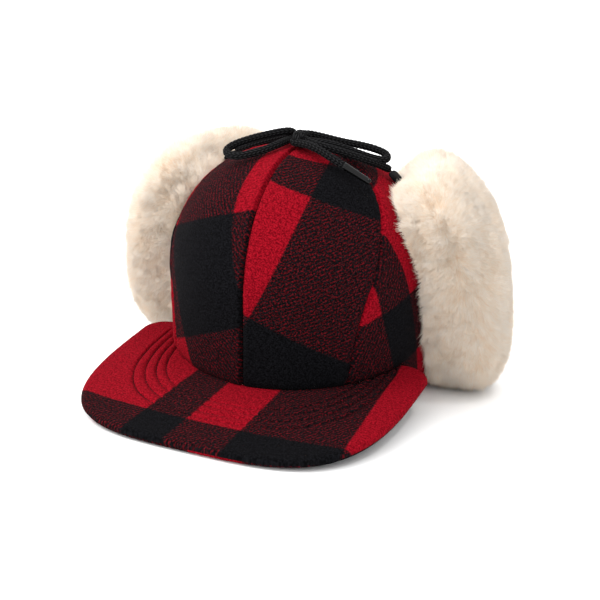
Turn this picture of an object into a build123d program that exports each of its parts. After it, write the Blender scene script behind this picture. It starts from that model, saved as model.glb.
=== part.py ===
from build123d import *
import os
from math import cos, pi, radians, sin, sqrt, tan

os.makedirs("parts", exist_ok=True)

# Trapper hat, in millimetres. +Z is up, the brim points to -Y, and z = 0 is the surface it stands on.
# The crown has its own frame: the plane through the seam of the brim, leaning forward by LEAN_ANGLE.

# Crown, outside of the wool
HALF_WIDTH = 88.0
HALF_LENGTH = 102.0
CROWN_HEIGHT = 136.0
WIDEST_HEIGHT = 54.0
BASE_TUCK = 2.0
TOP_SHIFT = 22.0
LEAN_ANGLE = 3.0
BRIM_SEAM_LIFT = 23.5
CUT_DEPTH = 36.0

# Layers of the crown wall, as depths below the outside of the wool
WOOL = 3.0
STIFFENER = (3.05, 3.85)
LINING = (3.9, 5.1)
SWEATBAND = (5.2, 6.6)
SWEATBAND_TOP = 38.0
SWEATBAND_SLOPE = 4.6
STIFFENER_TOP = 92.0
LAYER_SETBACK = 2.0

# Seams between the panels, as points of the crown frame
SIDE_SEAM_BASE = (60.0, -75.0, 0.0)
SIDE_SEAM_MIDDLE = (68.0, -53.5, 88.0)
CROWN_APEX = (0.0, -TOP_SHIFT, CROWN_HEIGHT)
REAR_SEAM_BASE = (72.0, 58.0, 0.0)

# Brim
BRIM_PITCH = 9.4
BRIM_HALF_WIDTH = 101.0
BRIM_FRONT = 71.5
BRIM_BACK = -57.0
BRIM_TIP_BACK = -67.5
BRIM_SQUARENESS = 3.4
BRIM_OUTLINE_STEPS = 18
BRIM_TOP = 2.1
BRIM_BOARD = 1.9
BRIM_UNDER = 2.0
BOARD_MARGIN = 2.6
STITCH_ROWS = 4
STITCH_FIRST = 30.0
STITCH_PITCH = 7.0
THREAD = 0.8

# Ear flaps
FLAP_FRONT = -34.0
FLAP_REAR = 58.0
FLAP_GAP = 0.6
FLAP_WOOL = 3.0
FLAP_FLOOR = 0.3
FLAP_TOP = 156.0

# Tie cords
CORD_DIAMETER = 4.6
AGLET_DIAMETER = 3.6
AGLET_LENGTH = 17.0
TAB_CENTRE = (57.6, -10.0, 143.2)
TAB_SLOPE = 40.7
TAB_SIZE = (8.0, 10.0, 3.0)

HAT = Plane(
    origin=(0, 0, BRIM_SEAM_LIFT),
    x_dir=(1, 0, 0),
    z_dir=(0, -sin(radians(LEAN_ANGLE)), cos(radians(LEAN_ANGLE))),
)
FRONT_SEAM = HAT.from_local_coords(Vector(0, -HALF_LENGTH, 0))
BRIM = Plane(
    origin=FRONT_SEAM,
    x_dir=(1, 0, 0),
    z_dir=(0, -sin(radians(BRIM_PITCH)), cos(radians(BRIM_PITCH))),
)
SIDE_VIEW = Plane.YZ
FRONT_VIEW = Plane.XZ
REACH = 160.0


def section(height, depth):
    """Half width, half length and middle of the crown's oval at a height, depth below the wool."""
    rise = CROWN_HEIGHT - depth - WIDEST_HEIGHT
    if height > WIDEST_HEIGHT:
        spread = sqrt(1 - ((height - WIDEST_HEIGHT) / rise) ** 2)
    else:
        spread = 1 - BASE_TUCK / HALF_LENGTH * ((WIDEST_HEIGHT - height) / WIDEST_HEIGHT) ** 2
    middle = -TOP_SHIFT * max(height / CROWN_HEIGHT, 0) ** 3
    return (HALF_WIDTH - depth) * spread, (HALF_LENGTH - depth) * spread, middle


def crown_form(depth, mode=Mode.ADD):
    """The crown as one closed form, depth below the outside of the wool."""
    rise = CROWN_HEIGHT - depth - WIDEST_HEIGHT
    heights = [-CUT_DEPTH, -10, 18, 40]
    heights += [WIDEST_HEIGHT + rise * sin(radians(turn)) for turn in (0, 15, 30, 44, 56, 67, 76, 83)]
    ovals = []
    for height in heights:
        half_width, half_length, middle = section(height, depth)
        with BuildSketch(HAT.offset(height)) as oval:
            with Locations((0, middle)):
                Ellipse(half_width, half_length)
        ovals.append(oval.sketch)
    loft(ovals, mode=mode)


def hem_cut(setback=0.0):
    """Cuts off what hangs below the brim's seam in front and below the floor at the sides and back."""
    seam = BRIM.from_local_coords(Vector(0, -REACH, setback))
    seam_end = BRIM.from_local_coords(Vector(0, -BRIM_TIP_BACK, setback))
    with BuildSketch(SIDE_VIEW) as waste:
        with BuildLine():
            front = Line((seam.Y, seam.Z), (seam_end.Y, seam_end.Z))
            step = Spline(
                front @ 1,
                (seam_end.Y + 26, setback),
                tangents=[(1, 0.1), (1, 0)],
            )
            Polyline(step @ 1, (REACH, setback), (REACH, -REACH), (seam.Y, -REACH), front @ 0)
        make_face()
    extrude(waste.sketch, amount=REACH, both=True, mode=Mode.SUBTRACT)


def plane_through(first, second, third):
    """The plane through three points of the crown frame."""
    a, b, c = (HAT.from_local_coords(Vector(*point)) for point in (first, second, third))
    return Plane(origin=a, x_dir=b - a, z_dir=(b - a).cross(c - a))


def mirrored(point):
    return (-point[0], point[1], point[2])


def side_seam(side):
    """The plane of a front side seam, facing forward."""
    if side > 0:
        return plane_through(SIDE_SEAM_BASE, SIDE_SEAM_MIDDLE, CROWN_APEX)
    return plane_through(mirrored(SIDE_SEAM_BASE), CROWN_APEX, mirrored(SIDE_SEAM_MIDDLE))


def rear_seam(side):
    """The upright plane of a rear seam, facing back."""
    below_apex = (0, -TOP_SHIFT, 0)
    if side > 0:
        return plane_through(REAR_SEAM_BASE, below_apex, CROWN_APEX)
    return plane_through(below_apex, mirrored(REAR_SEAM_BASE), CROWN_APEX)


CENTRE = Plane.YZ
SIDES = {"left": -1, "right": 1}


def middle_half(side):
    split(bisect_by=CENTRE, keep=Keep.TOP if side > 0 else Keep.BOTTOM)


# ---------------------------------------------------------------- crown panels
for name, side in SIDES.items():
    with BuildPart() as front_panel:
        crown_form(0)
        crown_form(WOOL, Mode.SUBTRACT)
        middle_half(side)
        split(bisect_by=side_seam(side), keep=Keep.TOP)
        hem_cut()
    front_panel.part.label = f"front_panel_{name}"
    export_step(front_panel.part, f"parts/front_panel_{name}.step")

    with BuildPart() as side_panel:
        crown_form(0)
        crown_form(WOOL, Mode.SUBTRACT)
        middle_half(side)
        split(bisect_by=side_seam(side), keep=Keep.BOTTOM)
        split(bisect_by=rear_seam(side), keep=Keep.BOTTOM)
        hem_cut()
    side_panel.part.label = f"side_panel_{name}"
    export_step(side_panel.part, f"parts/side_panel_{name}.step")

    with BuildPart() as back_panel:
        crown_form(0)
        crown_form(WOOL, Mode.SUBTRACT)
        middle_half(side)
        split(bisect_by=rear_seam(side), keep=Keep.TOP)
        hem_cut()
    back_panel.part.label = f"back_panel_{name}"
    export_step(back_panel.part, f"parts/back_panel_{name}.step")

# ---------------------------------------------------------------- inside of the crown
with BuildPart() as front_stiffener:
    crown_form(STIFFENER[0])
    crown_form(STIFFENER[1], Mode.SUBTRACT)
    for side in SIDES.values():
        split(bisect_by=side_seam(side).offset(LAYER_SETBACK), keep=Keep.TOP)
    split(bisect_by=HAT.offset(STIFFENER_TOP), keep=Keep.BOTTOM)
    hem_cut(LAYER_SETBACK)
front_stiffener.part.label = "front_stiffener"
export_step(front_stiffener.part, "parts/front_stiffener.step")

with BuildPart() as crown_lining:
    crown_form(LINING[0])
    crown_form(LINING[1], Mode.SUBTRACT)
    hem_cut(LAYER_SETBACK)
crown_lining.part.label = "crown_lining"
export_step(crown_lining.part, "parts/crown_lining.step")

with BuildPart() as sweatband:
    crown_form(SWEATBAND[0])
    crown_form(SWEATBAND[1], Mode.SUBTRACT)
    top_edge = Plane(
        origin=(0, 0, SWEATBAND_TOP),
        x_dir=(1, 0, 0),
        z_dir=(0, sin(radians(SWEATBAND_SLOPE)), cos(radians(SWEATBAND_SLOPE))),
    )
    split(bisect_by=top_edge, keep=Keep.BOTTOM)
    hem_cut(LAYER_SETBACK)
sweatband.part.label = "sweatband"
export_step(sweatband.part, "parts/sweatband.step")


# ---------------------------------------------------------------- brim
def brim_outline(plane, margin=0.0, with_tips=True):
    """The brim's plan: a squared oval in front, with or without its two tips beside the crown."""
    points = []
    for step in range(-BRIM_OUTLINE_STEPS, BRIM_OUTLINE_STEPS + 1):
        turn = step / BRIM_OUTLINE_STEPS * pi / 2
        power = 2 / BRIM_SQUARENESS
        across = (BRIM_HALF_WIDTH - margin) * abs(sin(turn)) ** power
        forward = cos(turn) if abs(step) < BRIM_OUTLINE_STEPS else 0
        ahead = (BRIM_FRONT - BRIM_BACK - margin) * forward ** power
        points.append((across if step > 0 else -across, -BRIM_BACK - ahead))
    inner = HALF_WIDTH - 20
    tip = -BRIM_TIP_BACK - margin
    with BuildSketch(plane) as outline:
        with BuildLine():
            edge = Spline(*points, tangents=[(0, -1), (0, 1)])
            if with_tips:
                right_tip = Spline(edge @ 1, (HALF_WIDTH - 3, tip), tangents=[(0, 1), (-1, 0)])
                left_tip = Spline(edge @ 0, (3 - HALF_WIDTH, tip), tangents=[(0, 1), (1, 0)])
                Polyline(right_tip @ 1, (inner, tip), (-inner, tip), left_tip @ 1)
            else:
                Line(edge @ 1, edge @ 0)
        make_face()
    return outline.sketch


with BuildPart() as brim_top_fabric:
    extrude(brim_outline(BRIM), amount=-(BRIM_TOP + BRIM_BOARD))
    extrude(brim_outline(BRIM.offset(-BRIM_TOP), BOARD_MARGIN), amount=-BRIM_BOARD, mode=Mode.SUBTRACT)
    crown_form(WOOL, Mode.SUBTRACT)
brim_top_fabric.part.label = "brim_top_fabric"
export_step(brim_top_fabric.part, "parts/brim_top_fabric.step")

with BuildPart() as brim_board:
    extrude(brim_outline(BRIM.offset(-BRIM_TOP), BOARD_MARGIN), amount=-BRIM_BOARD)
    crown_form(WOOL, Mode.SUBTRACT)
brim_board.part.label = "brim_board"
export_step(brim_board.part, "parts/brim_board.step")

with BuildPart() as brim_under_fabric:
    extrude(brim_outline(BRIM.offset(-BRIM_TOP - BRIM_BOARD)), amount=-BRIM_UNDER)
    crown_form(WOOL, Mode.SUBTRACT)
brim_under_fabric.part.label = "brim_under_fabric"
export_step(brim_under_fabric.part, "parts/brim_under_fabric.step")

with BuildPart() as brim_topstitching:
    for row in range(STITCH_ROWS):
        margin = STITCH_FIRST + row * STITCH_PITCH
        extrude(brim_outline(BRIM, margin, False), amount=THREAD / 2)
        extrude(brim_outline(BRIM, margin + THREAD, False), amount=THREAD / 2, mode=Mode.SUBTRACT)
    crown_form(-LAYER_SETBACK, Mode.SUBTRACT)
brim_topstitching.part.label = "brim_topstitching"
export_step(brim_topstitching.part, "parts/brim_topstitching.step")


# ---------------------------------------------------------------- ear flaps
def flap_form(side):
    """A folded-up flap: its front view run from front to rear, trimmed to its side view."""
    with BuildSketch(FRONT_VIEW.offset(-FLAP_REAR)) as front_outline:
        with BuildLine():
            outer = Spline(
                (side * 62, 139),
                (side * 69, 149.5),
                (side * 81, FLAP_TOP),
                (side * 96, 149),
                (side * 112, 129),
                (side * 123, 100),
                (side * 128.5, 62),
                (side * 127, 28),
                (side * 117, 6),
                (side * 104, FLAP_FLOOR),
            )
            Polyline(outer @ 1, (side * 40, FLAP_FLOOR), (side * 40, 125), outer @ 0)
        make_face()
    extrude(front_outline.sketch, amount=FLAP_REAR - FLAP_FRONT)
    with BuildSketch(SIDE_VIEW) as side_outline:
        with BuildLine():
            round_over = Spline(
                (FLAP_FRONT, 118),
                (-28, 140),
                (-11, 154),
                (10, 158),
                (32, 152),
                (49, 133),
                (FLAP_REAR, 96),
            )
            Polyline(
                round_over @ 1,
                (FLAP_REAR, 30),
                (FLAP_REAR - 20, FLAP_FLOOR),
                (FLAP_FRONT + 10, FLAP_FLOOR),
                (FLAP_FRONT, 14),
                round_over @ 0,
            )
        make_face()
    extrude(side_outline.sketch, amount=REACH, both=True, mode=Mode.INTERSECT)


for name, side in SIDES.items():
    with BuildPart() as wool_space:
        crown_form(-FLAP_GAP - FLAP_WOOL)

    with BuildPart() as flap_shell:
        flap_form(side)
        add(wool_space.part, mode=Mode.INTERSECT)
        crown_form(-FLAP_GAP, Mode.SUBTRACT)
    flap_shell.part.label = f"flap_shell_{name}"
    export_step(flap_shell.part, f"parts/flap_shell_{name}.step")

    with BuildPart() as flap_shearling:
        flap_form(side)
        crown_form(-FLAP_GAP - FLAP_WOOL - 0.1, Mode.SUBTRACT)
    flap_shearling.part.label = f"flap_shearling_{name}"
    export_step(flap_shearling.part, f"parts/flap_shearling_{name}.step")

    tab_plane = Plane(
        origin=(side * TAB_CENTRE[0], TAB_CENTRE[1], TAB_CENTRE[2]),
        x_dir=(-side * cos(radians(TAB_SLOPE)), 0, sin(radians(TAB_SLOPE))),
        z_dir=(side * sin(radians(TAB_SLOPE)), 0, cos(radians(TAB_SLOPE))),
    )
    with BuildPart() as cord_tab:
        with BuildSketch(tab_plane.offset(-TAB_SIZE[2] / 2)):
            RectangleRounded(TAB_SIZE[0], TAB_SIZE[1], 1.2)
        extrude(amount=TAB_SIZE[2])
    cord_tab.part.label = f"cord_tab_{name}"
    export_step(cord_tab.part, f"parts/cord_tab_{name}.step")

# ---------------------------------------------------------------- tie cords
# Each half of the bow is one cord: from its flap's tab to the knot, out and back as a loop, and on
# to its own free end. The right one wraps round and makes the knot; the left one tucks behind it.
RIGHT_ROUTE = [
    (53, -10.5, 147.4),
    (49.5, -15.5, 150.8),
    (43, -25, 155.5),
    (32, -36, 160),
    (20, -42, 163),
    (9.5, -42, 164.5),
    (2.5, -38.5, 170.5),
    (3.5, -28, 172),
    (13, -22, 171),
    (25, -17.5, 169.5),
    (37, -12, 166),
    (46, -8, 162.5),
    (53.5, -9, 160),
    (56.5, -16, 156.5),
    (50, -21.5, 157.5),
    (41, -25, 160.5),
    (30, -29, 164.5),
    (15, -33, 165.5),
    (-1, -34, 165),
    (-1, -46.5, 164),
    (12, -50.5, 163.5),
    (24, -53.5, 160),
    (34, -54, 155.5),
    (42, -52, 151.5),
]
LEFT_ROUTE = [
    (-53.3, -10.3, 147.1),
    (-48, -12, 152),
    (-38, -13, 158.5),
    (-27, -14, 164),
    (-16, -16, 168),
    (-7.5, -21, 171),
    (-8, -31, 172),
    (-17, -38, 169),
    (-27, -45, 164.5),
    (-35, -53, 160),
    (-37, -61, 155),
    (-30, -65.5, 154),
    (-20, -61.5, 157),
    (-11, -54, 160.5),
    (-6.8, -43, 163.5),
    (-7, -30, 165),
    (-8, -16, 164.5),
    (-10, -3, 163),
    (-13, 9, 159.5),
]


def bend_radii(route):
    """The largest even radius at each inner point of a route."""
    radii = []
    for before, here, after in zip(route, route[1:], route[2:]):
        arriving = Vector(*here) - Vector(*before)
        leaving = Vector(*after) - Vector(*here)
        turn = radians(arriving.get_angle(leaving))
        radii.append(0.45 * min(arriving.length, leaving.length) / tan(turn / 2))
    return radii


for name, route in {"left": LEFT_ROUTE, "right": RIGHT_ROUTE}.items():
    radii = bend_radii(route)
    print(f"tie_cord_{name}: bend radii", [round(radius, 1) for radius in radii])
    with BuildPart() as tie_cord:
        with BuildLine():
            centre_line = FilletPolyline(*route, radius=radii)
        with BuildSketch(Plane(origin=centre_line @ 0, z_dir=centre_line % 0)):
            Circle(CORD_DIAMETER / 2)
        sweep()
    length = centre_line.length
    fullness = tie_cord.part.volume / (pi * (CORD_DIAMETER / 2) ** 2 * length)
    print(f"tie_cord_{name}: length {length:.1f}, volume over section x length {fullness:.4f}")
    tie_cord.part.label = f"tie_cord_{name}"
    export_step(tie_cord.part, f"parts/tie_cord_{name}.step")

    end = Vector(*route[-1])
    with BuildPart() as aglet:
        with BuildSketch(Plane(origin=end, z_dir=end - Vector(*route[-2]))):
            Circle(AGLET_DIAMETER / 2)
        extrude(amount=AGLET_LENGTH)
    aglet.part.label = f"aglet_{name}"
    export_step(aglet.part, f"parts/aglet_{name}.step")

with BuildPart() as bow_knot:
    with Locations((3.2, -36, 168.5)):
        Sphere(1)
    scale(by=(6.6, 9.5, 5.5), about=(3.2, -36, 168.5))
bow_knot.part.label = "bow_knot"
export_step(bow_knot.part, "parts/bow_knot.step")
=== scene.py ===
import math

import bpy
import numpy as np
from mathutils import Matrix, Vector


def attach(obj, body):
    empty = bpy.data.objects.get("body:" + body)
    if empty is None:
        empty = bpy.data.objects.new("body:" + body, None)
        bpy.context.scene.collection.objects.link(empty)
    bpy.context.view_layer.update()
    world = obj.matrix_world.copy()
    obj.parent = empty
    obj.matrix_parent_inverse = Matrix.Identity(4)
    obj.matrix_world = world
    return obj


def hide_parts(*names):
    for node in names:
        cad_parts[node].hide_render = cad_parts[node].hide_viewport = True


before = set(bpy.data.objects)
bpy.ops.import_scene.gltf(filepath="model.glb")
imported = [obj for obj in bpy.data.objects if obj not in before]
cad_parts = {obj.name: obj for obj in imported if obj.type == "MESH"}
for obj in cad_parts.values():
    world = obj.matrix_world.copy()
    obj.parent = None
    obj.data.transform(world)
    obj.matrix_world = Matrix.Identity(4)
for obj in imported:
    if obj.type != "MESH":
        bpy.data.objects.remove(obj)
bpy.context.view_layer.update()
MM = 0.001

# ------------------------------------------------------------ camera, light and floor
AZIMUTH, ELEVATION, ROLL, DISTANCE = (math.radians(21.79), math.radians(17.10), math.radians(3.9), 0.8)
back = Vector((
    math.sin(AZIMUTH) * math.cos(ELEVATION),
    -math.cos(AZIMUTH) * math.cos(ELEVATION),
    math.sin(ELEVATION),
))
level = Vector((math.cos(AZIMUTH), math.sin(AZIMUTH), 0))
upward = back.cross(level)
image_x = level * math.cos(ROLL) + upward * math.sin(ROLL)
image_y = back.cross(image_x)
camera_data = bpy.data.cameras.new("camera")
camera_data.lens = 70.1
camera_data.shift_x = -0.0085
camera_data.shift_y = 0.0635
camera = bpy.data.objects.new("camera", camera_data)
turn = Matrix((image_x, image_y, back)).transposed().to_4x4()
camera.matrix_world = Matrix.Translation(Vector((0, 0, 0.0235)) + back * DISTANCE) @ turn
bpy.context.collection.objects.link(camera)
bpy.context.scene.camera = camera
bpy.context.scene.view_settings.view_transform = "Standard"


def area_light(name, place, aim, size, power):
    """A round lamp that looks at a point."""
    data = bpy.data.lights.new(name, "AREA")
    data.shape = "DISK"
    data.size = size
    data.energy = power
    lamp = bpy.data.objects.new(name, data)
    lamp.location = place
    lamp.rotation_euler = (Vector(aim) - Vector(place)).to_track_quat("-Z", "Y").to_euler()
    bpy.context.collection.objects.link(lamp)


area_light("key_light", (-1.0, -0.8, 1.5), (0, -0.02, 0.06), 0.35, 11)
area_light("rim_light", (-0.3, 1.2, 1.4), (0, 0, 0.1), 0.8, 4)
# a small far lamp, for the glint along the moulded tip of the cord
area_light("glint_light", (0.5, -0.3, 1.1), (0.04, -0.05, 0.15), 0.12, 2)

# a white room, brighter above and to the front left
ROOM_STRENGTH, ROOM_CONTRAST = 1.34, 1.15
world = bpy.data.worlds.new("studio")
world.use_nodes = True
room = world.node_tree.nodes
toward = room.new("ShaderNodeTexCoord")
facing_key = room.new("ShaderNodeVectorMath")
facing_key.operation = "DOT_PRODUCT"
facing_key.inputs[1].default_value = Vector((-0.62, -0.38, 0.5)).normalized()
strength = room.new("ShaderNodeMath")
strength.operation = "MULTIPLY_ADD"
strength.inputs[1].default_value = ROOM_CONTRAST
strength.inputs[2].default_value = ROOM_STRENGTH
world.node_tree.links.new(toward.outputs["Generated"], facing_key.inputs[0])
world.node_tree.links.new(facing_key.outputs["Value"], strength.inputs[0])
world.node_tree.links.new(strength.outputs[0], room["Background"].inputs["Strength"])
room["Background"].inputs["Color"].default_value = (1, 1, 1, 1)
bpy.context.scene.world = world


def plain(name, colour, roughness=0.8, **sockets):
    """A material with constant sockets, which textured() and plaid() build on."""
    material = bpy.data.materials.new(name)
    material.use_nodes = True
    shader = material.node_tree.nodes["Principled BSDF"]
    shader.inputs["Base Color"].default_value = (*colour, 1)
    shader.inputs["Roughness"].default_value = roughness
    shader.inputs["IOR"].default_value = sockets.get("ior", 1.35)
    shader.inputs["Sheen Weight"].default_value = sockets.get("sheen", 0)
    shader.inputs["Specular IOR Level"].default_value = sockets.get("gloss", 0.5)
    return material


# the floor: flat for 3 m, and rising like a bowl beyond
FLOOR_SIDES = 64
floor_mesh = bpy.data.meshes.new("floor")
floor_rings = [(radius, 0.035 * max(radius - 3, 0) ** 2) for radius in (0.5, 1, 2, 3, 3.5, 4, 4.5, 5, 5.5, 6)]
floor_points = [(0, 0, 0)]
for radius, height in floor_rings:
    for step in range(FLOOR_SIDES):
        angle = step * 2 * math.pi / FLOOR_SIDES
        floor_points.append((radius * math.cos(angle), radius * math.sin(angle), height))
floor_faces = [(0, 1 + k, 1 + (k + 1) % FLOOR_SIDES) for k in range(FLOOR_SIDES)]
for ring in range(len(floor_rings) - 1):
    for k in range(FLOOR_SIDES):
        a, b = 1 + ring * FLOOR_SIDES + k, 1 + ring * FLOOR_SIDES + (k + 1) % FLOOR_SIDES
        floor_faces.append((a, a + FLOOR_SIDES, b + FLOOR_SIDES, b))
floor_mesh.from_pydata(floor_points, [], floor_faces)
floor_mesh.polygons.foreach_set("use_smooth", [True] * len(floor_faces))
floor = bpy.data.objects.new("floor", floor_mesh)
floor_mesh.materials.append(plain("floor_white", (0.97, 0.97, 0.97), 0.95))
bpy.context.collection.objects.link(floor)


# ------------------------------------------------------------ node materials
class Graph:
    """Short ways to add shader nodes to one material."""

    def __init__(self, material):
        self.tree = material.node_tree
        self.shader = self.tree.nodes["Principled BSDF"]

    def put(self, target, value):
        if isinstance(value, bpy.types.NodeSocket):
            self.tree.links.new(value, target)
        else:
            target.default_value = value

    def math(self, operation, first, second=0.0, third=0.0):
        node = self.tree.nodes.new("ShaderNodeMath")
        node.operation = operation
        for socket, value in zip(node.inputs, (first, second, third)):
            self.put(socket, value)
        return node.outputs[0]

    def noise(self, vector, scale, detail=2.0):
        node = self.tree.nodes.new("ShaderNodeTexNoise")
        self.put(node.inputs["Vector"], vector)
        node.inputs["Scale"].default_value = scale
        node.inputs["Detail"].default_value = detail
        return node.outputs["Fac"]

    def mix(self, factor, first, second):
        node = self.tree.nodes.new("ShaderNodeMix")
        node.data_type = "RGBA"
        self.put(node.inputs["Factor"], factor)
        self.put(node.inputs["A"], first)
        self.put(node.inputs["B"], second)
        return node.outputs["Result"]

    def edges(self, value, first, borders, soft):
        """1 and 0 by turns along a value, changing at each border."""
        total = float(first)
        sign = -1.0 if first else 1.0
        for border in borders:
            node = self.tree.nodes.new("ShaderNodeMapRange")
            node.interpolation_type = "SMOOTHSTEP"
            self.put(node.inputs["Value"], value)
            node.inputs["From Min"].default_value = border - soft
            node.inputs["From Max"].default_value = border + soft
            total = self.math("MULTIPLY_ADD", node.outputs[0], sign, total)
            sign = -sign
        return total

    def bump(self, height, strength, distance):
        node = self.tree.nodes.new("ShaderNodeBump")
        node.inputs["Strength"].default_value = strength
        node.inputs["Distance"].default_value = distance
        self.put(node.inputs["Height"], height)
        self.tree.links.new(node.outputs[0], self.shader.inputs["Normal"])


def textured(name, dark, light, scale, roughness=0.9, depth=0.0002, gloss=0.15):
    """A finish with its colour and relief from noise, for a fabric, felt, board or plastic."""
    material = plain(name, dark, roughness, gloss=gloss)
    graph = Graph(material)
    place = graph.tree.nodes.new("ShaderNodeTexCoord").outputs["Object"]
    grain = graph.math("ADD", graph.noise(place, scale, 3), graph.noise(place, scale * 0.21, 2))
    spread = graph.math("MULTIPLY_ADD", grain, 1.8, -1.3)
    spread.node.use_clamp = True
    graph.put(graph.shader.inputs["Base Color"], graph.mix(spread, (*dark, 1), (*light, 1)))
    graph.bump(grain, 0.5, depth)
    return material


RED = (0.1, 0.0006, 0.0034, 1)
RED_LIGHT = (0.26, 0.0038, 0.011, 1)
BLACK = (0.0012, 0.0012, 0.0015, 1)
BLACK_FIBRE = (0.0055, 0.0056, 0.0068, 1)
TWILL_PITCH = 2.3


def plaid(name, columns, rows, twill_angle):
    """Buffalo check on the piece's cloth coordinates in millimetres: red, black, and a twill of both."""
    material = plain(name, (0.3, 0.01, 0.02), 0.95, sheen=0.004, gloss=0.04)
    graph = Graph(material)
    graph.shader.inputs["Sheen Roughness"].default_value = 0.6
    graph.shader.inputs["Sheen Tint"].default_value = (0.9, 0.75, 0.78, 1)
    cloth = graph.tree.nodes.new("ShaderNodeUVMap")
    cloth.uv_map = "cloth"
    place = cloth.outputs[0]
    parts = graph.tree.nodes.new("ShaderNodeSeparateXYZ")
    graph.put(parts.inputs[0], place)
    # the bands' borders are ragged by a millimetre or so
    ragged = graph.math("MULTIPLY_ADD", graph.noise(place, 0.9, 3), 2.6, -1.3)
    across = graph.math("ADD", parts.outputs[0], ragged)
    along = graph.math("ADD", parts.outputs[1], ragged)
    column = graph.edges(across, *columns, 0.7)
    row = graph.edges(along, *rows, 0.7)
    both = graph.math("MULTIPLY", column, row)
    one = graph.math("MULTIPLY_ADD", both, -2.0, graph.math("ADD", column, row))
    # twill: slanting ribs of red on black, broken up and blurred by the felting
    slope = math.radians(twill_angle)
    along_rib = graph.math("MULTIPLY", parts.outputs[0], math.cos(slope))
    along_rib = graph.math("MULTIPLY_ADD", parts.outputs[1], math.sin(slope), along_rib)
    slant = graph.math("MULTIPLY", parts.outputs[0], -math.sin(slope) / TWILL_PITCH)
    slant = graph.math("MULTIPLY_ADD", parts.outputs[1], math.cos(slope) / TWILL_PITCH, slant)
    wobble = graph.math("MULTIPLY_ADD", graph.noise(place, 0.16, 2), 1.6, graph.noise(place, 0.7, 2))
    phase = graph.math("MULTIPLY_ADD", slant, 2 * math.pi, graph.math("MULTIPLY", wobble, 3.4))
    wave = graph.math("SINE", phase)
    # single stitches: spots a little longer along the rib than across it
    stitch_place = graph.tree.nodes.new("ShaderNodeCombineXYZ")
    graph.put(stitch_place.inputs[0], graph.math("MULTIPLY", along_rib, 0.62))
    graph.put(stitch_place.inputs[1], graph.math("MULTIPLY", slant, 1.9))
    speck = graph.noise(stitch_place.outputs[0], 1.25, 1)
    rib = graph.math("MULTIPLY_ADD", speck, 3.6, graph.math("MULTIPLY_ADD", wave, 0.26, -1.68))
    rib.node.use_clamp = True
    dull = graph.math("MULTIPLY_ADD", graph.noise(place, 0.12, 2), 0.6, 0.62)
    mixed = graph.math("MULTIPLY", one, graph.math("MULTIPLY", rib, dull))
    # felt: fine and coarse clumps of fibre
    fine = graph.noise(place, 0.95, 2)
    coarse = graph.noise(place, 0.42, 2)
    felt = graph.math("MULTIPLY_ADD", fine, 3.6, graph.math("MULTIPLY_ADD", coarse, 1.4, -2.05))
    felt.node.use_clamp = True
    reds = graph.mix(felt, RED, RED_LIGHT)
    blacks = graph.mix(felt, BLACK, BLACK_FIBRE)
    amount = graph.math("MULTIPLY_ADD", mixed, 0.5, both)
    graph.put(graph.shader.inputs["Base Color"], graph.mix(amount, blacks, reds))
    ridges = graph.math("MULTIPLY", graph.math("MULTIPLY", wave, one), 0.16)
    height = graph.math("ADD", graph.math("ADD", fine, graph.math("MULTIPLY", coarse, 0.7)), ridges)
    graph.bump(height, 0.75, 0.0008)
    return material


# ------------------------------------------------------------ mesh pieces
def piece(name, points, faces, materials, body, nodes, cloth=None, slots=None):
    """A mesh in millimetres that rides a body and stands for its CAD nodes."""
    mesh = bpy.data.meshes.new(name)
    mesh.from_pydata((np.asarray(points, float) * MM).tolist(), [], faces)
    for material in materials:
        mesh.materials.append(material)
    if slots is not None:
        mesh.polygons.foreach_set("material_index", np.asarray(slots, np.int32))
    mesh.polygons.foreach_set("use_smooth", np.full(len(mesh.polygons), True))
    if cloth is not None:
        layer = mesh.uv_layers.new(name="cloth")
        corners = np.empty(len(mesh.loops), np.int32)
        mesh.loops.foreach_get("vertex_index", corners)
        layer.data.foreach_set("uv", np.asarray(cloth, np.float32)[corners].ravel())
    mesh.validate()
    thing = bpy.data.objects.new(name, mesh)
    bpy.context.collection.objects.link(thing)
    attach(thing, body)
    if nodes:
        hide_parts(*nodes)
    return thing


def grid_faces(rows, columns, start=0, loop=False, flip=False):
    """Quads of a grid of points stored row by row."""
    faces = []
    last = columns if loop else columns - 1
    for row in range(rows - 1):
        for column in range(last):
            a = start + row * columns + column
            b = start + row * columns + (column + 1) % columns
            quad = (a, b, b + columns, a + columns)
            faces.append(quad[::-1] if flip else quad)
    return faces


def slab_faces(rows, columns, flip=False):
    """A closed slab: an outer grid, an inner grid stored after it, and the four edges between them."""
    count = rows * columns
    faces = grid_faces(rows, columns, 0, False, flip) + grid_faces(rows, columns, count, False, not flip)
    rim = [column for column in range(columns)]
    rim += [row * columns + columns - 1 for row in range(1, rows)]
    rim += [(rows - 1) * columns + column for column in range(columns - 2, -1, -1)]
    rim += [row * columns for row in range(rows - 2, 0, -1)]
    for a, b in zip(rim, rim[1:] + rim[:1]):
        quad = (b, a, a + count, b + count)
        faces.append(quad[::-1] if flip else quad)
    return faces


def run_of(points):
    """Length along a line of points, from its start."""
    return np.concatenate(([0], np.cumsum(np.linalg.norm(np.diff(points, axis=0), axis=1))))


def waves(points, length, seed, count=7):
    """Smooth noise from -1 to 1 with features about length long, in millimetres."""
    maker = np.random.default_rng(seed)
    total = np.zeros(len(points))
    for _ in range(count):
        direction = maker.normal(size=3)
        direction *= 2 * math.pi / (length * maker.uniform(0.7, 1.6) * np.linalg.norm(direction))
        total += np.sin(points @ direction + maker.uniform(0, 2 * math.pi))
    return total / count * 1.6


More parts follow.
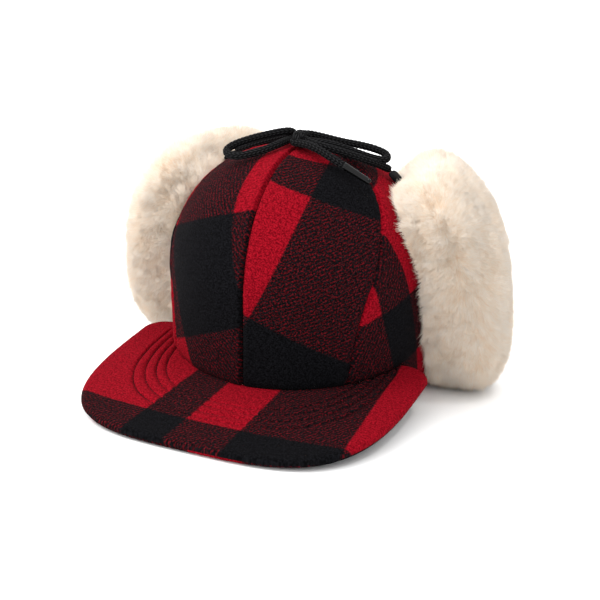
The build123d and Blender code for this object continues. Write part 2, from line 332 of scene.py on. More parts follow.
# ------------------------------------------------------------ crown surface
HALF_WIDTH, HALF_LENGTH, CROWN_HEIGHT, WIDEST, TOP_SHIFT = (88.0, 102.0, 136.0, 54.0, 22.0)
WALL_STEP = 90.0  # height of wall for each 1 of w below the widest line
LEAN = math.radians(3)
SEAM_LIFT = 23.5
BRIM_PITCH = math.radians(9.4)
BRIM_ORIGIN = np.array((0.0, -101.86, 18.16))
BRIM_END = (-35.3, 29.1)  # depth and height where the brim's seam stops and the hem drops to the floor


def world_of(points):
    """World place of points in the crown's own frame, which leans back a little."""
    x, y, z = points[..., 0], points[..., 1], points[..., 2]
    across = y * math.cos(LEAN) - z * math.sin(LEAN)
    height = y * math.sin(LEAN) + z * math.cos(LEAN) + SEAM_LIFT
    return np.stack((x, across, height), -1)


def crown_height(w):
    """Height in the crown's frame: w runs from below 0 on the wall to 1 at the apex."""
    dome = (CROWN_HEIGHT - WIDEST) * np.sin(np.clip(w, 0, 1) * math.pi / 2)
    return np.where(w < 0, WIDEST + WALL_STEP * w, WIDEST + dome)


def middle_line(h):
    """How far back the middle of the crown's section lies at a height."""
    return -TOP_SHIFT * np.clip(h / CROWN_HEIGHT, 0, None) ** 3


def crown_surface(theta, w):
    """Point on the crown in its own frame, at an angle round it from the front."""
    h = crown_height(w)
    wall = 1 - 2 / HALF_LENGTH * (np.clip(WIDEST - h, 0, None) / WIDEST) ** 2
    spread = np.where(w < 0, wall, np.cos(np.clip(w, 0, 1) * math.pi / 2))
    forward = HALF_LENGTH * spread * np.cos(theta)
    return np.stack((HALF_WIDTH * spread * np.sin(theta), middle_line(h) - forward, h), -1)


def crown_normal(theta, w):
    """Outward normal in the crown's own frame."""
    step = 1e-3
    w = np.clip(w, None, 0.985)
    rise = crown_surface(theta, w + step) - crown_surface(theta, w - step)
    run = crown_surface(theta + step, w) - crown_surface(theta - step, w)
    normal = np.cross(run, rise)
    return normal / np.linalg.norm(normal, axis=-1, keepdims=True)


def crown_point(theta, w, out=0.0):
    """World point on the crown, raised by out millimetres."""
    out = np.broadcast_to(np.asarray(out, float), np.shape(theta))[..., None]
    return world_of(crown_surface(theta, w) + crown_normal(theta, w) * out)


profile_w = np.concatenate((np.linspace(-1.0, 0, 61), np.linspace(0, 1, 121)[1:]))
profile = crown_surface(np.full(len(profile_w), 0.9), profile_w)
profile_length = run_of(profile)
profile_length -= np.interp(-WIDEST / WALL_STEP, profile_w, profile_length)


def climb(w):
    """Length up the crown from the height of the brim's seam."""
    return np.interp(w, profile_w, profile_length)


def at_climb(length):
    """The w that a length up the crown reaches."""
    return np.interp(length, profile_length, profile_w)


def hem_height(y):
    """World height of the crown's lower edge."""
    sloped = BRIM_ORIGIN[2] + (y - BRIM_ORIGIN[1]) * math.tan(BRIM_PITCH)
    step = np.clip((y - BRIM_END[0]) / 26, 0, 1)
    return np.where(y < BRIM_END[0], sloped, BRIM_END[1] * (1 - step * step * (3 - 2 * step)))


def hem_w(theta):
    """Where each meridian of the crown meets the lower edge."""
    low, high = np.full(np.shape(theta), -1.0), np.full(np.shape(theta), 0.2)
    for _ in range(30):
        middle = (low + high) / 2
        point = crown_point(theta, middle)
        below = point[..., 2] < hem_height(point[..., 1])
        low, high = np.where(below, middle, low), np.where(below, high, middle)
    return high


def seam_share(w):
    """How far up a seam a point is, from 0 at the floor to 1 at the apex."""
    h = crown_height(w)
    return np.where(w < 0, 0.3 * np.clip(h, 0, None) / WIDEST, 0.3 + 0.7 * np.clip(w, 0, 1))


def seam_angle(kind, w):
    """Angle round the crown, from the front towards one side, of a seam."""
    share = seam_share(w)
    if kind == "front":
        return np.zeros(np.shape(w))
    if kind == "side":
        return np.radians(43.5 + 64.1 * share**2)
    if kind == "rear":
        return np.radians(125 + 9 * share**2)
    return np.full(np.shape(w), math.pi)


def cloth_frame(points, w, facing, turned):
    """Cloth coordinates of points in the crown's frame: along the cloth's own two threads."""
    across = points[..., 0] * math.cos(facing) + points[..., 1] * math.sin(facing)
    up = climb(w)
    cosine, sine = math.cos(turned), math.sin(turned)
    return np.stack((across * cosine - up * sine, across * sine + up * cosine), -1)


WOOL = 2.9
PANELS = {
    # name: its two seams, then for each side its cloth's facing angle, turn, columns, rows and twill angle
    "front_panel": ("front", "side", {
        1: (28, 24.5, (0, (-94.5, -59, 12.8, 75, 103)), (1, (-37, 24.1, 109, 139, 210)), 47),
        -1: (-28, -22, (0, (-29, 6, 68.2, 130)), (0, (-44, 18.1, 89, 190)), -66),
    }),
    "side_panel": ("side", "rear", {
        1: (80, -21.5, (0, (-59, -23.8, 1.5, 64)), (1, (14.4, 59.2, 125, 153)), 47),
        -1: (-80, 21.5, (0, (-64, -1.5, 20, 62)), (1, (-30, 5, 66, 96, 180)), -47),
    }),
    "back_panel": ("rear", "back", {
        1: (150, -20, (1, (-40, -6, 55)), (0, (-20, 12, 74, 104, 150)), 47),
        -1: (-150, 20, (0, (-50, 10, 42)), (0, (-20, 12, 74, 104, 150)), -47),
    }),
}
SIDES = {"left": -1, "right": 1}
CROWN_WAVES = ((62, 11), (17, 12), (40, 13))  # length and seed


def groove(distance, depth, width, puff):
    """Cloth drawn in at a seam and plump beside it."""
    return -depth * np.exp(-((distance / width) ** 2)) + puff * np.exp(-(((distance - 5) / 3.2) ** 2))


def crown_panel(name, side_name):
    """One panel of the crown: a slab of wool from seam to seam and from the hem to the apex."""
    side = SIDES[side_name]
    first, second, layout = PANELS[name]
    facing, turned, columns_bands, rows_bands, twill = layout[side]
    rows, columns = ((150, 76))
    share = np.linspace(0, 1, columns)[None, :]
    # closer columns beside the seams, where the cloth turns in
    share = share - 0.105 * np.sin(2 * math.pi * share)
    share = np.broadcast_to(share, (rows, columns))
    rise = np.linspace(0, 1, rows)[:, None]
    theta = np.radians(60) * np.ones((rows, columns))
    w = np.zeros((rows, columns))
    for _ in range(12):
        low = climb(hem_w(theta[:1]))
        w = at_climb(low + (climb(1.0) - 0.6 - low) * rise)
        theta = seam_angle(first, w) + (seam_angle(second, w) - seam_angle(first, w)) * share
    base = crown_surface(theta, w)
    radius = np.hypot(base[..., 0], base[..., 1] - middle_line(base[..., 2]))
    width = (seam_angle(second, w) - seam_angle(first, w)) * radius
    fade = np.clip(width / 26, 0, 1)
    to_first, to_second = share * width, (1 - share) * width
    up_from_hem = climb(w) - climb(hem_w(theta[:1]))
    flat = base.reshape(-1, 3) * (side, 1, 1)
    depth = 3.0 if first == "front" else 1.5
    lift = groove(to_first, depth, 1.25, 0.55) + groove(to_second, 1.5, 1.3, 0.45)
    lift = lift * (0.35 + 0.65 * fade) - 1.3 * np.exp(-((up_from_hem / 2.2) ** 2))
    long_waves, short_waves, drift = (waves(flat, *kind).reshape(rows, columns) for kind in CROWN_WAVES)
    lift += 0.75 * long_waves + 0.22 * short_waves
    # fine cockle along the seams, where the stitches pull
    near = np.exp(-((np.minimum(to_first, to_second) / 4.5) ** 2)) * fade
    lift += 0.22 * near * np.sin(climb(w) * 2 * math.pi / 7 + drift * 2)
    if name == "front_panel" and side < 0:
        lift += 0.7 * np.exp(-((to_first / 3.0) ** 4))  # the lapped edge at the front seam
    outer, inner = crown_point(theta, w, lift), crown_point(theta, w, -WOOL)
    cloth = cloth_frame(base * (side, 1, 1), w, math.radians(facing), math.radians(turned)).reshape(-1, 2)
    points = np.concatenate((outer.reshape(-1, 3), inner.reshape(-1, 3))) * (side, 1, 1)
    material = plaid(f"plaid_{name}_{side_name}", columns_bands, rows_bands, twill)
    piece(
        f"{name}_{side_name}", points, slab_faces(rows, columns, side < 0), [material], "crown",
        [f"{name}_{side_name}"], np.concatenate((cloth, cloth)),
    )


for panel in PANELS:
    for side_name in SIDES:
        crown_panel(panel, side_name)

# ------------------------------------------------------------ inside of the crown
lining_black = textured("lining_black", (0.006, 0.006, 0.008), (0.02, 0.02, 0.024), 900, 0.5, gloss=0.4)
felt_black = textured("felt_black", (0.005, 0.005, 0.006), (0.02, 0.02, 0.022), 1400)
stiff_cloth = textured("stiff_cloth", (0.5, 0.48, 0.42), (0.72, 0.7, 0.64), 1100)
board_white = textured("board_white", (0.66, 0.65, 0.62), (0.8, 0.8, 0.77), 500, 0.6, 0.00005)


def ring_layer(name, material, outside, inside, low, high, quilt=0.0, rows=60, columns=160):
    """A layer of the crown's wall, all round, from low to high above the hem."""
    theta = np.broadcast_to(np.linspace(0, 2 * math.pi, columns, endpoint=False)[None, :], (rows, columns))
    start = climb(hem_w(theta[:1])) + low
    end = np.full(start.shape, climb(1.0) - 0.5) if high is None else start + high
    w = at_climb(start + (end - start) * np.linspace(0, 1, rows)[:, None])
    pattern = 0.0
    if quilt:
        around, up = theta * 95 / 30, climb(w) / 30
        cells = np.abs(np.sin((around + up) * math.pi)) * np.abs(np.sin((around - up) * math.pi))
        pattern = quilt * np.sqrt(cells)
    outer = crown_point(theta, w, -outside).reshape(-1, 3)
    inner = crown_point(theta, w, -inside - pattern).reshape(-1, 3)
    count = rows * columns
    faces = grid_faces(rows, columns, 0, True) + grid_faces(rows, columns, count, True, True)
    for column in range(columns):
        after = (column + 1) % columns
        faces.append((after, column, column + count, after + count))
        a, b = count - columns + column, count - columns + after
        faces.append((a, b, b + count, a + count))
    return piece(name, np.concatenate((outer, inner)), faces, [material], "crown", [name])


ring_layer("crown_lining", lining_black, 3.9, 5.1, 2, None, 0.9)
ring_layer("sweatband", felt_black, 6.2, 7.4, 2, 34, 0, 14)

rows, columns = 40, 60
share = np.linspace(-1, 1, columns)[None, :]
theta = np.radians(40) * share * np.ones((rows, columns))
w = at_climb(climb(hem_w(theta[:1])) + 2 + np.linspace(0, 88, rows)[:, None])
theta = (seam_angle("side", w) - 0.03) * share
outer, inner = crown_point(theta, w, -3.05), crown_point(theta, w, -3.8)
points = np.concatenate((outer.reshape(-1, 3), inner.reshape(-1, 3)))
piece("front_stiffener", points, slab_faces(rows, columns), [stiff_cloth], "crown", ["front_stiffener"])

# ------------------------------------------------------------ brim
BRIM_HALF_WIDTH, BRIM_FRONT, BRIM_BACK = (101.0, 71.5, -57.0)
BRIM_SQUARENESS = 3.4
BRIM_X = np.array((1.0, 0, 0))
BRIM_Y = np.array((0, math.cos(BRIM_PITCH), math.sin(BRIM_PITCH)))
BRIM_Z = np.array((0, -math.sin(BRIM_PITCH), math.cos(BRIM_PITCH)))
BRIM_COLUMNS = (1, (-38.5, -11, 23.3, 84))
BRIM_ROWS = (0, (-46, 150))
brim_plaid = plaid("plaid_brim", BRIM_COLUMNS, BRIM_ROWS, 55)
under_plaid = plaid("plaid_under_brim", (1, (-62, 4, 36)), (1, (-60, -24)), 55)
thread = textured("thread", (0.008, 0.0008, 0.0012), (0.03, 0.002, 0.004), 2500)
STITCH_MARGINS = (28.5, 35.0, 41.5, 48.0)


def brim_place(x, y, z=0.0):
    """World point from the brim's own coordinates."""
    z = np.broadcast_to(np.asarray(z, float), np.shape(x))
    return BRIM_ORIGIN + x[..., None] * BRIM_X + y[..., None] * BRIM_Y + z[..., None] * BRIM_Z


def inside_crown(x, y, depth):
    """True where a point of the brim's plane lies inside the crown's wall."""
    place = brim_place(x, y)
    across = place[..., 1] * math.cos(LEAN) + (place[..., 2] - SEAM_LIFT) * math.sin(LEAN)
    return (x / (86.2 - depth)) ** 2 + (across / (100.2 - depth)) ** 2 < 1


def brim_edge(t, margin):
    """The brim's outline at angle t from the front, moved in by a margin. Its tips lie past a quarter."""
    side = np.sign(t)
    size = np.abs(t)
    quarter = math.pi / 2
    round_more = 1 + 0.35 * np.clip(margin / 40, 0, 1)
    power = 2 / BRIM_SQUARENESS * round_more
    over = np.clip(size - quarter, 0, quarter)
    size = np.clip(size, 0, quarter)
    from_side = np.interp(margin, (0, 6, 28.5, 90), (0, 6, 20.2, 72.5))
    x = (BRIM_HALF_WIDTH - from_side) * np.abs(np.sin(size)) ** power
    y = -BRIM_BACK - (BRIM_FRONT - BRIM_BACK - margin * 1.06) * np.abs(np.cos(size)) ** power
    tip_x = (BRIM_HALF_WIDTH - from_side) - 14 * (1 - np.cos(over))
    tip_y = -BRIM_BACK + (13.5 - 0.2 * np.clip(margin, 0, 10)) * np.sin(over)
    x = np.where(over > 0, tip_x, x)
    y = np.where(over > 0, tip_y, y)
    return side * x, y


def brim_grid(depth, margins, steps):
    """Points of the brim from its outline in to the crown's wall: a row for each margin."""
    bends = np.concatenate((
        np.linspace(-1, -0.5, steps // 5, endpoint=False),
        np.linspace(-0.5, 0.5, steps, endpoint=False),
        np.linspace(0.5, 1, steps // 5 + 1),
    ))
    t = bends * math.pi
    low, high = np.zeros(len(t)), np.full(len(t), 90.0)
    for _ in range(30):
        middle = (low + high) / 2
        hit = inside_crown(*brim_edge(t, middle), depth)
        low, high = np.where(hit, low, middle), np.where(hit, middle, high)
    margin = np.minimum(np.asarray(margins)[:, None], high[None, :])
    x, y = brim_edge(np.broadcast_to(t, margin.shape), margin)
    return x, y, margin


def brim_sag(x):
    """The whole brim sags a touch from side to side."""
    return -1.6 * (x / 100) ** 2 - 0.5


def brim_cloth(x, y):
    """Cloth coordinates on the brim, where the checks run a little out of square."""
    lean = 0.045 - 0.001 * x
    return np.stack((x - lean * (y + 30), y - 7 * ((x - 5) / 82) ** 2), -1)


def brim_layer(name, material, top, bottom, rounding, inset, stitched=False):
    """One layer of the brim: a slab between two heights with a rounded outer edge."""
    steps = 240
    bends = np.linspace(0, math.pi / 2, 7)
    edge_margins = rounding * (1 - np.sin(bends[1:]))[::-1] + inset
    inner = []
    if stitched:
        beside = (-2.2, -1.4, -0.8, -0.4, 0, 0.4, 0.8, 1.4, 2.2)
        inner = sorted({round(m + d, 2) for m in STITCH_MARGINS for d in beside})
    spaced = [m for m in np.linspace(4, 84, 48) if all(abs(m - k) > 0.9 for k in inner)]
    spaced = [m for m in spaced if m > edge_margins.max() + 0.5]
    margins = np.array(sorted(list(edge_margins) + inner + spaced))
    x, y, margin = brim_grid(3.0, margins, steps)
    drop = np.where(margin < rounding + inset, rounding - np.sqrt(np.clip(
        rounding**2 - (rounding + inset - margin) ** 2, 0, None)), 0)
    sign = 1 if top > bottom else -1
    relief = np.zeros(x.shape)
    if stitched:
        from_middle = np.clip((np.abs(x) - 30) / 30, 0, 1)
        for m in STITCH_MARGINS:
            relief -= 1.2 * np.exp(-(((margin - m) / 0.75) ** 2))
            relief += 0.3 * np.exp(-(((np.abs(margin - m) - 3.2) / 1.6) ** 2))
        relief *= 0.5 + 0.5 * from_middle
    flat = np.stack((x, y, np.zeros(x.shape)), -1).reshape(-1, 3)
    relief = relief + 0.3 * waves(flat, 45, 21).reshape(x.shape)
    relief = relief + 0.1 * waves(flat, 12, 22).reshape(x.shape)
    surface = top - sign * drop + sign * relief * np.clip(margin / 6, 0, 1)
    outer = brim_place(x, y, surface + brim_sag(x))
    under = brim_place(x, y, bottom + brim_sag(x))
    points = np.concatenate((outer.reshape(-1, 3), under.reshape(-1, 3)))
    points[:, 2] = np.clip(points[:, 2], 0.25, None)
    cloth = brim_cloth(x, y).reshape(-1, 2)
    faces = slab_faces(*x.shape, sign < 0)
    piece(name, points, faces, [material], "crown", [name], np.concatenate((cloth, cloth)))


brim_layer("brim_top_fabric", brim_plaid, 0.4, -2.9, 2.9, 0.0, True)
brim_layer("brim_under_fabric", under_plaid, -5.7, -3.2, 2.2, 0.5)
brim_layer("brim_board", board_white, -2.95, -3.15, 0.1, 3.0)


def tube(centre, radii):
    """Points and faces of a tube along a line. radii has a row for each point and a column for each side."""
    ahead = np.gradient(centre, axis=0)
    ahead /= np.linalg.norm(ahead, axis=1, keepdims=True)
    first = np.cross(ahead[0], (0.3, 0.2, 1.0))
    side = [first / np.linalg.norm(first)]
    for direction in ahead[1:]:
        moved = side[-1] - direction * (side[-1] @ direction)
        side.append(moved / np.linalg.norm(moved))
    side = np.array(side)
    other = np.cross(ahead, side)
    count, sides = radii.shape
    turn = np.linspace(0, 2 * math.pi, sides, endpoint=False)
    ring = side[:, None] * np.cos(turn)[None, :, None] + other[:, None] * np.sin(turn)[None, :, None]
    points = (centre[:, None] + ring * radii[..., None]).reshape(-1, 3)
    faces = grid_faces(count, sides, 0, True)
    faces.append(tuple(range(sides))[::-1])
    faces.append(tuple(range((count - 1) * sides, count * sides)))
    return points, faces


# thread: short stitches lying in the four grooves of the brim
STITCH_PITCH, STITCH_LENGTH, THREAD_RADIUS = (3.3, 2.5, 0.24)
stitch_points, stitch_faces = [], []
t_line = np.linspace(-0.5, 0.5, 3001) * math.pi
for margin in STITCH_MARGINS:
    x, y = brim_edge(t_line, np.full(t_line.shape, margin))
    seen = ~inside_crown(x, y, -1.0)
    line = brim_place(x, y, 0.25 + brim_sag(x))[seen]
    run = run_of(line)
    for start in np.arange(1.0, run[-1] - 3.0, STITCH_PITCH):
        spots = start + np.linspace(0, STITCH_LENGTH, 5)
        centre = np.stack([np.interp(spots, run, line[:, k]) for k in range(3)], -1)
        centre += BRIM_Z * (0.18 * np.sin(np.linspace(0, math.pi, 5)) - 0.75)[:, None]
        points, faces = tube(centre, np.full((5, 6), THREAD_RADIUS))
        offset = sum(len(p) for p in stitch_points)
        stitch_points.append(points)
        stitch_faces += [tuple(k + offset for k in face) for face in faces]
piece("brim_topstitching", np.concatenate(stitch_points), stitch_faces, [thread], "crown",
      ["brim_topstitching"])

# ------------------------------------------------------------ ear flaps
FLAP_FRONT, FLAP_REAR = (-36.0, 57.0)
FLAP_BOTTOM, FLAP_TOP = (-16.0, 115.5)
FLAP_LIFT = 3.7  # from the crown to the pile's flat face, past the flap's own wool
PILE, THICK = (7.5, 37.5)
FLAP_AROUND, FLAP_ROLLS, SHELL_RINGS = (120, 34, 36)
cream = [
    plain("pile_cream", (0.95, 0.81, 0.66), 0.8, sheen=0.1),
    plain("pile_ivory", (0.96, 0.86, 0.75), 0.8, sheen=0.1),
    plain("pile_tan", (0.91, 0.71, 0.53), 0.8, sheen=0.1),
]


pad_cream = textured("pad_cream", (0.86, 0.7, 0.55), (0.95, 0.84, 0.72), 400, depth=0.0008)


def flap_region(angle, share):
    """World depth and length up the crown, for a spot of the flap at an angle and a share of its outline."""
    cosine, sine = np.cos(angle), np.sin(angle)
    square = 2 / 4.8
    sideways = np.sign(cosine) * np.abs(cosine) ** square * share
    upright = np.sign(sine) * np.abs(sine) ** square * share
    up = (FLAP_BOTTOM + FLAP_TOP) / 2 + upright * (FLAP_TOP - FLAP_BOTTOM) / 2
    # the front edge runs back towards the hem, and both edges draw in at the top
    front = FLAP_FRONT + 36 * np.clip((86 - up) / 86, 0, 1.15) ** 1.2
    rear = FLAP_REAR - 14 * np.clip((up - 70) / 45, 0, 1) ** 2
    y = (front + rear) / 2 + sideways * (rear - front) / 2
    return y, up


def on_crown(y, up, out):
    """World point at world depth y and length up, on the right of the crown."""
    w = at_climb(up)
    h = crown_height(w)
    middle = middle_line(h)
    half = np.abs(crown_surface(np.zeros(np.shape(w)), w)[..., 1] - middle)
    local = y * math.cos(LEAN) + h * math.sin(LEAN)
    theta = np.arccos(np.clip((middle - local) / np.clip(half, 1, None), -0.999, 0.999))
    return crown_point(theta, w, out)


def flap_surface(angle, roll, thick, fuller):
    """Outer face of a flap: roll goes from its middle to its rim, and fuller thickens its lower part."""
    share = np.sin(roll) ** 0.4
    swell = np.cos(roll) ** 0.42
    y, up = flap_region(angle, share)
    bulge = np.interp(up, (-10, 20, 60, 115), (1.3, 1.26, 1.08, 0.9)) + 0.015 * np.sin(y / 17)
    bulge += fuller * np.clip((70 - up) / 60, 0, 1)
    return on_crown(y, up, FLAP_LIFT + thick * bulge * swell)


def flap_mesh(thick, fuller, back_rings=14):
    """Closed form of a flap's pile: the outer face, then the flat face against the wool."""
    angle = np.linspace(0, 2 * math.pi, FLAP_AROUND, endpoint=False)[None, :]
    middle_rolls = np.arcsin(np.linspace(0.02, 0.2, 6) ** 2.5)
    roll = np.concatenate((middle_rolls, np.linspace(0.02, math.pi / 2, FLAP_ROLLS - 6)))
    outer = flap_surface(angle, roll[:, None] * np.ones_like(angle), thick, fuller)
    share = np.linspace(0.97, 0.03, back_rings)[:, None]
    y, up = flap_region(angle * np.ones_like(share), share)
    inner = on_crown(y, up, FLAP_LIFT)
    points = np.concatenate((outer.reshape(-1, 3), inner.reshape(-1, 3)))
    faces = grid_faces(FLAP_ROLLS + back_rings, FLAP_AROUND, 0, True, True)
    faces.append(tuple(range(FLAP_AROUND)))
    last = (FLAP_ROLLS + back_rings - 1) * FLAP_AROUND
    faces.append(tuple(range(last, last + FLAP_AROUND))[::-1])
    return points, faces


def flap_strands(points, faces, count, seed):
    """Roots and normals of strands, spread evenly over the quads of the pile's outer face."""
    maker = np.random.default_rng(seed)
    tris = np.array([t for f in faces for t in ((f[0], f[1], f[2]), (f[0], f[2], f[3]))])
    corner = points[tris]
    facing = np.cross(corner[:, 1] - corner[:, 0], corner[:, 2] - corner[:, 0])
    area = np.linalg.norm(facing, axis=1)
    smooth = np.zeros(points.shape)
    for k in range(3):
        np.add.at(smooth, tris[:, k], facing)
    smooth /= np.clip(np.linalg.norm(smooth, axis=1, keepdims=True), 1e-9, None)
    pick = maker.choice(len(area), count, p=area / area.sum())
    a, b = maker.random((2, count, 1))
    over = a + b > 1
    a, b = np.where(over, 1 - a, a), np.where(over, 1 - b, b)

    def between(values):
        return values[:, 0] * (1 - a - b) + values[:, 1] * a + values[:, 2] * b

    normal = between(smooth[tris][pick])
    return between(corner[pick]), normal / np.linalg.norm(normal, axis=1, keepdims=True), maker


def rim_strands(count, seed):
    """Roots and directions of the longer strands round a flap's rim, which lie out over the wool."""
    maker = np.random.default_rng(seed)
    angle = maker.uniform(0, 2 * math.pi, count)
    height = maker.uniform(0.6, 7.0, count)
    y, up = flap_region(angle, np.full(count, 0.985))
    inner_y, inner_up = flap_region(angle, np.full(count, 0.8))
    root = on_crown(y, up, height)
    outward = root - on_crown(inner_y, inner_up, height)
    outward /= np.linalg.norm(outward, axis=1, keepdims=True)
    above = on_crown(y, up, height + 1) - root
    normal = outward + above * (0.12 + 0.09 * height)[:, None]
    return root, normal / np.linalg.norm(normal, axis=1, keepdims=True), maker


def pile_piece(side_name, part, points, normals, maker, length):
    """One mesh of three-sided strands. Tufts lean together, long ones are paler, and short ones are tan."""
    side = SIDES[side_name]

    def field(size, seed):
        return np.stack([waves(points, size, seed + k) for k in range(3)], -1)

    comb = field(38, 50) * 0.28 + field(12, 60) * 0.26 + field(5, 70) * 0.34 + field(2.4, 75) * 0.18
    comb += maker.normal(size=points.shape) * 0.2 + np.array((0, 0, -0.12))
    comb -= normals * np.sum(comb * normals, 1, keepdims=True)
    tuft = waves(points, 6, 81)
    size = length * maker.uniform(0.7, 1.15, len(points))
    size = size * (1 + 0.08 * waves(points, 14, 80) + 0.26 * tuft)
    tip = points + (normals * 0.9 + comb * 0.8) * size[:, None]
    flat = np.cross(normals, maker.normal(size=points.shape))
    flat /= np.linalg.norm(flat, axis=1, keepdims=True)
    third = np.cross(normals, flat)
    wide = 0.26 * maker.uniform(0.7, 1.3, (len(points), 1))
    turns = (0, 2 * math.pi / 3, 4 * math.pi / 3)
    outward = [flat * math.cos(turn) + third * math.sin(turn) for turn in turns]
    vertices = np.stack([points + ray * wide for ray in outward] + [tip], 1).reshape(-1, 3)
    vertices[:, 2] = np.clip(vertices[:, 2], 0.4, None)
    # shading normals eased towards the flap's surface, so that the pile catches light like fleece
    soft = [normals + comb * 0.9 + ray * 0.5 for ray in outward] + [normals + comb * 1.1]
    soft = np.stack(soft, 1).reshape(-1, 3)
    soft /= np.linalg.norm(soft, axis=1, keepdims=True)
    vertices[:, 0] *= side
    soft[:, 0] *= side
    start = np.arange(len(points)) * 4
    corners = [(0, 1, 3), (1, 2, 3), (2, 0, 3)] if side > 0 else [(1, 0, 3), (2, 1, 3), (0, 2, 3)]
    tris = np.stack([np.stack([start + k for k in corner], 1) for corner in corners], 1).reshape(-1, 3)
    patch = waves(points, 26, 90) * 0.4 + tuft * 0.8 + maker.normal(size=len(points)) * 0.7
    colour = np.where(patch > 0.5, 1, np.where(patch < -0.75, 2, 0))
    strands = piece(f"flap_shearling_{side_name}_pile_{part}", vertices, tris.tolist(), cream,
                    f"{side_name}_flap", [], slots=np.repeat(colour, 3))
    strands.data.normals_split_custom_set_from_vertices(soft.tolist())


for side_name, side in SIDES.items():
    body = f"{side_name}_flap"
    points, faces = flap_mesh(THICK - PILE * 0.8, 0.02 if side > 0 else 0.14)
    mirrored_faces = faces if side > 0 else [face[::-1] for face in faces]
    pad = piece(f"flap_shearling_{side_name}", points * (side, 1, 1), mirrored_faces, [pad_cream], body,
                [f"flap_shearling_{side_name}"])
    outer_faces = faces[: FLAP_AROUND * FLAP_ROLLS]
    count = 64000
    for part in range(3):
        root, normal, maker = flap_strands(points, outer_faces, count, 100 + part)
        pile_piece(side_name, part, root, normal, maker, PILE)
    root, normal, maker = rim_strands(30000, 120)
    pile_piece(side_name, "rim", root, normal, maker, PILE * 1.3)

    # the flap's own wool, against the crown
    angle = np.linspace(0, 2 * math.pi, FLAP_AROUND, endpoint=False)[None, :]
    share = np.linspace(0.02, 1.0, SHELL_RINGS)[:, None]
    y, up = flap_region(angle * np.ones_like(share), share)
    rim = np.clip((share - 0.96) / 0.04, 0, 1) * 0.9
    outer, inner = on_crown(y, up, 3.5 - rim), on_crown(y, up, 0.7 + rim * np.ones_like(y))
    points = np.concatenate((outer.reshape(-1, 3), inner.reshape(-1, 3))) * (side, 1, 1)
    count = SHELL_RINGS * FLAP_AROUND
    faces = grid_faces(SHELL_RINGS, FLAP_AROUND, 0, True, True)
    faces += grid_faces(SHELL_RINGS, FLAP_AROUND, count, True)
    for k in range(FLAP_AROUND):
        a, b = count - FLAP_AROUND + k, count - FLAP_AROUND + (k + 1) % FLAP_AROUND
        faces.append((a, b, b + count, a + count))
    faces += [tuple(range(FLAP_AROUND)), tuple(range(count, count + FLAP_AROUND))[::-1]]
    if side < 0:
        faces = [face[::-1] for face in faces]
    cloth = np.stack((y * np.ones_like(up), up), -1).reshape(-1, 2)
    wool = plaid(f"plaid_flap_{side_name}", (0, (-30, 4, 40)), (1, (-5, 26, 88, 116)), 50)
    piece(f"flap_shell_{side_name}", points, faces, [wool], body, [f"flap_shell_{side_name}"],
          np.concatenate((cloth, cloth)))

# ------------------------------------------------------------ tie cords
CORD_DIAMETER = 4.6
BRAID_COLUMNS, BRAID_PITCH = (10, 2.6)
CORD_SIDES = 50
TAB_CENTRE, TAB_SLOPE = (np.array((57.6, -10, 143.2)), 40.7)
RIGHT_ROUTE = [
    (53, -10.5, 147.4), (50.5, -17, 150), (45, -27, 153.5), (33, -37, 158), (20, -42, 161),
    (9.5, -41, 162.5), (3, -38, 165.5), (3.5, -30, 166.2), (11, -23, 164.4), (22, -16.8, 161.8),
    (33, -11.5, 160.4), (43, -8.5, 158.6), (51, -8.5, 156), (52.5, -14.5, 153), (45.5, -20.5, 154.4),
    (37, -26, 157.3), (27, -30.5, 160.4), (14, -33, 162.4), (0, -34.5, 161.8), (-0.5, -44, 161.5),
    (11, -47.2, 162), (21, -49.5, 159.6), (32, -52, 155.3), (40.5, -51.5, 151.3),
]
LEFT_ROUTE = [
    (-53.3, -10.3, 147.1), (-48, -12, 149), (-38, -13, 153.5), (-27, -14, 157.5), (-16, -17, 161),
    (-7.5, -22, 164.5), (-8, -31, 166.8), (-17, -38, 164.5), (-27, -45.5, 161), (-35, -53, 157.3),
    (-38, -60, 153.5), (-30.5, -64.5, 151.3), (-20, -61, 153.6), (-11, -53.5, 157.6), (-6.8, -43, 160.6),
    (-7, -30, 161.4), (-8, -16, 160.6), (-10, -3, 159), (-13, 9, 155.8),
]
# a braided cord's cloth layer holds how far its stitches stand out, and their tops are painted paler: a
# painted highlight where the stitches catch the light
cord_black = plain("cord_black", (0.002, 0.002, 0.002), 0.6, gloss=0.04)
cord_graph = Graph(cord_black)
cord_place = cord_graph.tree.nodes.new("ShaderNodeUVMap")
cord_place.uv_map = "cloth"
cord_parts = cord_graph.tree.nodes.new("ShaderNodeSeparateXYZ")
cord_graph.put(cord_parts.inputs[0], cord_place.outputs[0])
fibre = cord_graph.noise(cord_place.outputs[0], 3.1, 2)
# painted highlight: colour lightened on the raised stitch tops, standing in for their glints
top = cord_graph.math("MULTIPLY", cord_graph.math("POWER", cord_parts.outputs[0], 4), fibre)
cord_graph.put(cord_graph.shader.inputs["Base Color"],
               cord_graph.mix(top, (0.0008, 0.0008, 0.0009, 1), (0.05, 0.05, 0.053, 1)))
gloss_black = plain("gloss_black", (0.0015, 0.0015, 0.0015), 0.09, ior=1.5, gloss=0.17)
tab_black = textured("tab_black", (0.002, 0.002, 0.0025), (0.012, 0.012, 0.014), 1500)


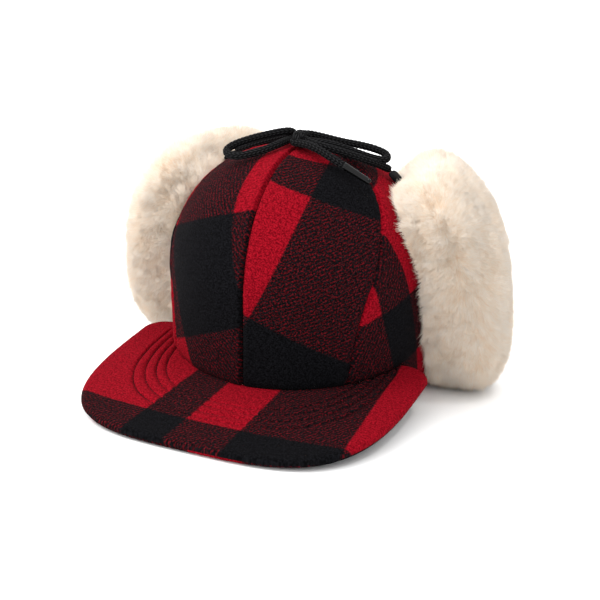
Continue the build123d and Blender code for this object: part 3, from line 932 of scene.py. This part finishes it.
def spline_line(name, route):
    """Evenly spaced points along a smooth curve through the given route."""
    curve = bpy.data.curves.new(name, "CURVE")
    curve.dimensions = "3D"
    spline = curve.splines.new("NURBS")
    spline.points.add(len(route) - 1)
    for point, place in zip(spline.points, route):
        point.co = (*(Vector(place) * MM), 1)
    spline.order_u = 3
    spline.use_endpoint_u = True
    spline.resolution_u = 24
    guide = bpy.data.objects.new(name, curve)
    bpy.context.collection.objects.link(guide)
    line = bpy.data.meshes.new_from_object(guide)
    points = np.array([v.co for v in line.vertices]) / MM
    bpy.data.objects.remove(guide)
    bpy.data.meshes.remove(line)
    run = run_of(points)
    spots = np.arange(0, run[-1], 0.34)
    return np.stack([np.interp(spots, run, points[:, k]) for k in range(3)], -1), run[-1]


def braid(turn, along):
    """How far a braid stands out, 0 to 1: columns of slanting stitches that lean against each other."""
    around = turn * BRAID_COLUMNS / (2 * math.pi)
    column = np.floor(around)
    share = around - column
    lean = np.where(column % 2 == 0, 1.0, -1.0)
    stitch = (along / BRAID_PITCH + lean * (share - 0.5) * 0.9 + 0.5 * (column // 2 % 2)) % 1.0
    return np.sqrt(np.sin(math.pi * share) * 0.8 + 0.2) * np.sqrt(np.clip(np.sin(math.pi * stitch), 0, 1))


def braided_tube(centre):
    """Points, faces and cloth coordinates of a braided cord along a line."""
    turn = np.linspace(0, 2 * math.pi, CORD_SIDES, endpoint=False)
    plump = braid(turn[None, :], run_of(centre)[:, None])
    points, faces = tube(centre, CORD_DIAMETER / 2 * (0.8 + 0.28 * plump))
    step = np.arange(len(centre))[:, None] * np.ones(CORD_SIDES)
    return points, faces, np.stack((plump, step), -1).reshape(-1, 2)


for side_name, route in {"left": LEFT_ROUTE, "right": RIGHT_ROUTE}.items():
    side = SIDES[side_name]
    body = f"{side_name}_cord"
    line, length = spline_line(f"tie_cord_{side_name}_line", route)
    points, faces, weave = braided_tube(line)
    cord = piece(f"tie_cord_{side_name}", points, faces, [cord_black], body, [f"tie_cord_{side_name}"],
                 weave)

    # the moulded tip, a smooth sleeve with softened ends
    end = line[-1]
    ahead = line[-1] - line[-4]
    ahead /= np.linalg.norm(ahead)
    spots = np.concatenate(([-2.5, -2.4, -2.2], np.linspace(-1.8, 15.6, 12), [16.3, 16.8, 17.0]))
    size = np.concatenate(([2.0, 2.25, 2.4], np.linspace(2.35, 1.85, 12), [1.6, 1.1, 0.5]))
    tip_line = end + spots[:, None] * ahead
    tip_points, tip_faces = tube(tip_line, size[:, None] * np.ones(28))
    aglet = piece(f"aglet_{side_name}", tip_points, tip_faces, [gloss_black], body, [f"aglet_{side_name}"])
    if side > 0:
        # the knot: two turns of the same cord wrapped round the strands
        spin = np.linspace(0, 2 * math.pi * 1.9, 190)
        across = 0.6 + 5.4 * spin / spin[-1]
        centre = np.stack((
            across + 0.9 * np.sin(spin),
            -37.5 + 6.2 * np.sin(spin + 2.4),
            163.6 + 3.0 * np.cos(spin + 2.4),
        ), -1)
        knot_points, knot_faces, weave = braided_tube(centre)
        knot = piece("bow_knot", knot_points, knot_faces, [cord_black], body, ["bow_knot"],
                     weave)

    # the wool tab that holds the cord to the flap
    slope = math.radians(TAB_SLOPE)
    outward = np.array((math.sin(slope), 0, math.cos(slope)))
    inward = np.array((-math.cos(slope), 0, math.sin(slope)))
    corner_points = []
    for height, shrink in ((-1.5, 0.8), (-1.0, 0), (1.0, 0), (1.5, 0.8)):
        turn = np.linspace(0, 2 * math.pi, 32, endpoint=False)
        x = np.sign(np.cos(turn)) * np.abs(np.cos(turn)) ** 0.45 * (4 - shrink)
        y = np.sign(np.sin(turn)) * np.abs(np.sin(turn)) ** 0.45 * (5 - shrink)
        flat = x[:, None] * inward + y[:, None] * np.array((0, 1.0, 0))
        corner_points.append(TAB_CENTRE + flat + height * outward)
    tab_faces = grid_faces(4, 32, 0, True, True) + [tuple(range(32)), tuple(range(96, 128))[::-1]]
    if side < 0:
        tab_faces = [face[::-1] for face in tab_faces]
    piece(f"cord_tab_{side_name}", np.concatenate(corner_points) * (side, 1, 1), tab_faces, [tab_black],
          f"{side_name}_flap", [f"cord_tab_{side_name}"])
